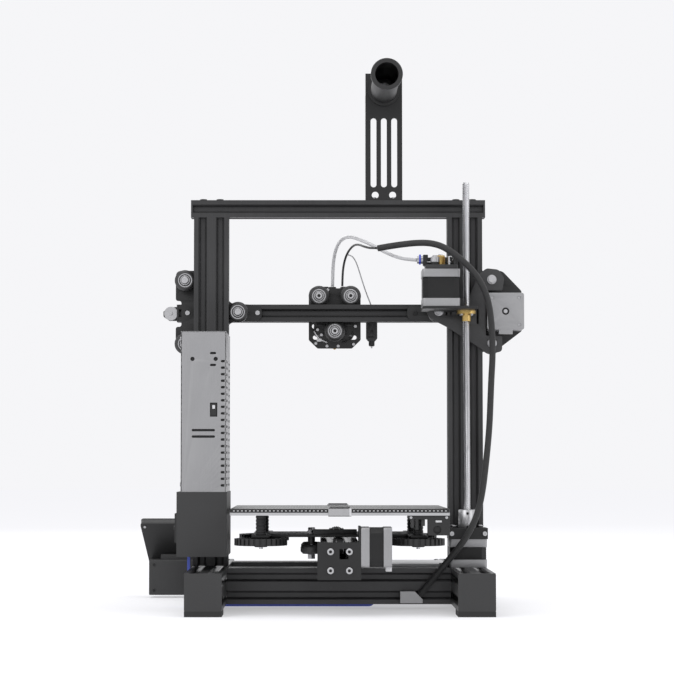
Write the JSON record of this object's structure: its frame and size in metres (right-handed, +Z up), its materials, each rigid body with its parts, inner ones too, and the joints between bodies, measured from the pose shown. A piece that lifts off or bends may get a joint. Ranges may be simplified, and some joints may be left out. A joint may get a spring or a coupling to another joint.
{
  "type": "fdm printer",
  "caption": "Desktop filament 3-D printer: a slotted-rail portal, a climbing gantry with a sliding print head, a sliding heated bed, and a spool arm on top.",
  "frame": {"origin": "under the middle of the whole machine, on the surface it stands on", "axes": "+Z up; -Y is the operator's side, where the screen is; +X is to the operator's right, where the power supply is"},
  "size_m": [0.4524, 0.441, 0.6118],
  "materials": {
    "black_rail": "black anodised, satin",
    "black_steel": "black powder coat, satin",
    "black_plastic": "moulded, fine grain",
    "grey_plastic": "moulded, fine grain",
    "rubber": "matt",
    "silver_case": "brushed, satin",
    "zinc_sheet": "light grey, satin",
    "motor_black": "satin motor body",
    "steel": "bright zinc",
    "glass_black": "coated glass, fine pattern",
    "bed_alloy": "milled",
    "roller": "hard grey resin",
    "belt_rubber": "ribbed, matt",
    "sleeve": "braided sleeve",
    "tube": "milky tube, smooth",
    "lead_jacket": "blue jacket with pale edges"
  },
  "bodies": {
    "frame": {"base_rails": "black_rail", "y_rail": "black_rail", "portal_rails": "black_rail", "end_caps": "black_plastic", "rubber_feet": "rubber", "psu_case": "silver_case", "psu_cover": "black_plastic", "psu_lead": "lead_jacket", "electronics_case": "zinc_sheet", "screen_case": "black_plastic", "z_motor": "motor_black", "y_motor": "motor_black", "motor_brackets": "black_steel", "y_tensioner": "black_plastic", "y_belt": "belt_rubber", "spool_bracket": "black_steel", "spool_arm": "black_plastic", "cable_sleeve": "sleeve"},
    "bed": {"glass_plate": "glass_black", "heated_bed": "bed_alloy", "bed_carriage": "black_steel", "bed_fittings": "grey_plastic"},
    "gantry": {"x_beam": "black_rail", "gantry_plate_left": "black_steel", "gantry_plates_right": "black_steel", "x_motor": "motor_black", "extruder_motor": "motor_black", "extruder_body": "black_plastic", "x_belt": "belt_rubber", "bowden_tube": "tube", "hotend_cable": "sleeve"},
    "carriage": {"carriage_plate": "black_steel", "hotend": "black_plastic", "probe": "black_plastic", "probe_wire": "sleeve"},
    "power_switch": {"power_switch": "black_plastic"},
    "screen_knob": {"screen_knob": "grey_plastic"},
    "lead_screw": {"lead_screw": "steel"},
    "y_pulley": {"y_pulley": "steel"},
    "y_idler": {"y_idler": "steel"},
    "extruder_lever": {"extruder_lever": "black_plastic"},
    "x_pulley": {"x_pulley": "steel"},
    "x_idler": {"x_idler": "steel"},
    "bed_knob_1": {"bed_knob_1": "black_plastic"},
    "bed_knob_2": {"bed_knob_2": "black_plastic"},
    "bed_knob_3": {"bed_knob_3": "black_plastic"},
    "bed_knob_4": {"bed_knob_4": "black_plastic"},
    "bed_wheel_1": {"bed_wheel_1": "roller"},
    "bed_wheel_2": {"bed_wheel_2": "roller"},
    "bed_wheel_3": {"bed_wheel_3": "roller"},
    "bed_wheel_4": {"bed_wheel_4": "roller"},
    "left_wheel_1": {"left_wheel_1": "roller"},
    "left_wheel_2": {"left_wheel_2": "roller"},
    "left_wheel_3": {"left_wheel_3": "roller"},
    "right_wheel_1": {"right_wheel_1": "roller"},
    "right_wheel_2": {"right_wheel_2": "roller"},
    "right_wheel_3": {"right_wheel_3": "roller"},
    "carriage_wheel_1": {"carriage_wheel_1": "roller"},
    "carriage_wheel_2": {"carriage_wheel_2": "roller"},
    "carriage_wheel_3": {"carriage_wheel_3": "roller"}
  },
  "joints": [
    {"name": "bed_slide", "type": "slide", "parent": "frame", "child": "bed", "axis": [0, 1, 0], "range_m": [-0.22, 0]},
    {"name": "gantry_lift", "type": "slide", "parent": "frame", "child": "gantry", "axis": [0, 0, 1], "range_m": [-0.18, 0.05], "deforming": ["cable_sleeve"]},
    {"name": "head_slide", "type": "slide", "parent": "gantry", "child": "carriage", "axis": [1, 0, 0], "range_m": [-0.11, 0.11], "deforming": ["bowden_tube", "hotend_cable", "probe_wire"]},
    {"name": "screw_turn", "type": "hinge", "parent": "frame", "child": "lead_screw", "pos_m": [-0.15927, 0.0575, 0.2], "axis": [0, 0, 1], "range_deg": [-8100.5, 2250.5]},
    {"name": "bed_wheel_turn_1", "type": "hinge", "parent": "bed", "child": "bed_wheel_1", "pos_m": [-0.04417, 0.048, 0.069], "axis": [0, 0, 1], "range_deg": [-0.5, 1212.5]},
    {"name": "bed_wheel_turn_2", "type": "hinge", "parent": "bed", "child": "bed_wheel_2", "pos_m": [-0.04417, 0.138, 0.069], "axis": [0, 0, 1], "range_deg": [-0.5, 1212.5]},
    {"name": "bed_wheel_turn_3", "type": "hinge", "parent": "bed", "child": "bed_wheel_3", "pos_m": [0.01663, 0.048, 0.069], "axis": [0, 0, 1], "range_deg": [-1212.5, 0.5]},
    {"name": "bed_wheel_turn_4", "type": "hinge", "parent": "bed", "child": "bed_wheel_4", "pos_m": [0.01663, 0.138, 0.069], "axis": [0, 0, 1], "range_deg": [-1212.5, 0.5]},
    {"name": "left_wheel_turn_1", "type": "hinge", "parent": "gantry", "child": "left_wheel_1", "pos_m": [0.16212, 0.0245, 0.373], "axis": [0, 1, 0], "range_deg": [-276, 992.2]},
    {"name": "right_wheel_turn_1", "type": "hinge", "parent": "gantry", "child": "right_wheel_1", "pos_m": [-0.18968, 0.0245, 0.373], "axis": [0, 1, 0], "range_deg": [-992.2, 276]},
    {"name": "left_wheel_turn_2", "type": "hinge", "parent": "gantry", "child": "left_wheel_2", "pos_m": [0.16212, 0.0245, 0.3], "axis": [0, 1, 0], "range_deg": [-276, 992.2]},
    {"name": "right_wheel_turn_2", "type": "hinge", "parent": "gantry", "child": "right_wheel_2", "pos_m": [-0.18968, 0.0245, 0.3], "axis": [0, 1, 0], "range_deg": [-992.2, 276]},
    {"name": "left_wheel_turn_3", "type": "hinge", "parent": "gantry", "child": "left_wheel_3", "pos_m": [0.10132, 0.0245, 0.3365], "axis": [0, 1, 0], "range_deg": [-992.2, 276]},
    {"name": "right_wheel_turn_3", "type": "hinge", "parent": "gantry", "child": "right_wheel_3", "pos_m": [-0.12887, 0.0245, 0.3365], "axis": [0, 1, 0], "range_deg": [-276, 992.2]},
    {"name": "head_wheel_turn_1", "type": "hinge", "parent": "carriage", "child": "carriage_wheel_1", "pos_m": [-0.02867, -0.0015, 0.3569], "axis": [0, 1, 0], "range_deg": [-606.5, 606.5]},
    {"name": "head_wheel_turn_2", "type": "hinge", "parent": "carriage", "child": "carriage_wheel_2", "pos_m": [0.00813, -0.0015, 0.3569], "axis": [0, 1, 0], "range_deg": [-606.5, 606.5]},
    {"name": "head_wheel_turn_3", "type": "hinge", "parent": "carriage", "child": "carriage_wheel_3", "pos_m": [-0.01027, -0.0015, 0.3161], "axis": [0, 1, 0], "range_deg": [-606.5, 606.5]},
    {"name": "x_pulley_turn", "type": "hinge", "parent": "gantry", "child": "x_pulley", "pos_m": [-0.20508, -0.0015, 0.3365], "axis": [0, 1, 0], "range_deg": [-989.9, 989.9]},
    {"name": "x_idler_turn", "type": "hinge", "parent": "gantry", "child": "x_idler", "pos_m": [0.17972, -0.0015, 0.3365], "axis": [0, 1, 0], "range_deg": [-989.9, 989.9]},
    {"name": "y_pulley_turn", "type": "hinge", "parent": "frame", "child": "y_pulley", "pos_m": [-0.01378, 0.1965, 0.07365], "axis": [1, 0, 0], "range_deg": [-0.5, 1979.3]},
    {"name": "y_idler_turn", "type": "hinge", "parent": "frame", "child": "y_idler", "pos_m": [-0.01378, -0.2015, 0.07365], "axis": [1, 0, 0], "range_deg": [-0.5, 1979.3]},
    {"name": "bed_knob_turn_1", "type": "hinge", "parent": "bed", "child": "bed_knob_1", "pos_m": [-0.09878, 0.008, 0.078], "axis": [0, 0, 1], "range_deg": [-720, 720]},
    {"name": "bed_knob_turn_2", "type": "hinge", "parent": "bed", "child": "bed_knob_2", "pos_m": [-0.09878, 0.178, 0.078], "axis": [0, 0, 1], "range_deg": [-720, 720]},
    {"name": "bed_knob_turn_3", "type": "hinge", "parent": "bed", "child": "bed_knob_3", "pos_m": [0.07122, 0.008, 0.078], "axis": [0, 0, 1], "range_deg": [-720, 720]},
    {"name": "bed_knob_turn_4", "type": "hinge", "parent": "bed", "child": "bed_knob_4", "pos_m": [0.07122, 0.178, 0.078], "axis": [0, 0, 1], "range_deg": [-720, 720]},
    {"name": "switch_rock", "type": "hinge", "parent": "frame", "child": "power_switch", "pos_m": [0.15723, 0.0845, 0.092], "axis": [0, 1, 0], "range_deg": [0, 10]},
    {"name": "screen_knob_turn", "type": "hinge", "parent": "frame", "child": "screen_knob", "pos_m": [0.21322, -0.18259, 0.06777], "axis": [0, -0.8829, 0.4695], "continuous": true},
    {"name": "lever_squeeze", "type": "hinge", "parent": "gantry", "child": "extruder_lever", "pos_m": [-0.14078, 0.0615, 0.392], "axis": [0, 0, 1], "range_deg": [0, 8], "stiffness_Nm_per_rad": 0.8}
  ],
  "couplings": [
    {"joint": "screw_turn", "follows": "gantry_lift", "rad_per_m": 785.4},
    {"joint": "bed_wheel_turn_1", "follows": "bed_slide", "rad_per_m": -96.154},
    {"joint": "bed_wheel_turn_2", "follows": "bed_slide", "rad_per_m": -96.154},
    {"joint": "bed_wheel_turn_3", "follows": "bed_slide", "rad_per_m": 96.154},
    {"joint": "bed_wheel_turn_4", "follows": "bed_slide", "rad_per_m": 96.154},
    {"joint": "left_wheel_turn_1", "follows": "gantry_lift", "rad_per_m": -96.154},
    {"joint": "right_wheel_turn_1", "follows": "gantry_lift", "rad_per_m": 96.154},
    {"joint": "left_wheel_turn_2", "follows": "gantry_lift", "rad_per_m": -96.154},
    {"joint": "right_wheel_turn_2", "follows": "gantry_lift", "rad_per_m": 96.154},
    {"joint": "left_wheel_turn_3", "follows": "gantry_lift", "rad_per_m": 96.154},
    {"joint": "right_wheel_turn_3", "follows": "gantry_lift", "rad_per_m": -96.154},
    {"joint": "head_wheel_turn_1", "follows": "head_slide", "rad_per_m": 96.154},
    {"joint": "head_wheel_turn_2", "follows": "head_slide", "rad_per_m": 96.154},
    {"joint": "head_wheel_turn_3", "follows": "head_slide", "rad_per_m": -96.154},
    {"joint": "x_pulley_turn", "follows": "head_slide", "rad_per_m": 156.99},
    {"joint": "x_idler_turn", "follows": "head_slide", "rad_per_m": 156.99},
    {"joint": "y_pulley_turn", "follows": "bed_slide", "rad_per_m": -156.99},
    {"joint": "y_idler_turn", "follows": "bed_slide", "rad_per_m": -156.99}
  ]
}
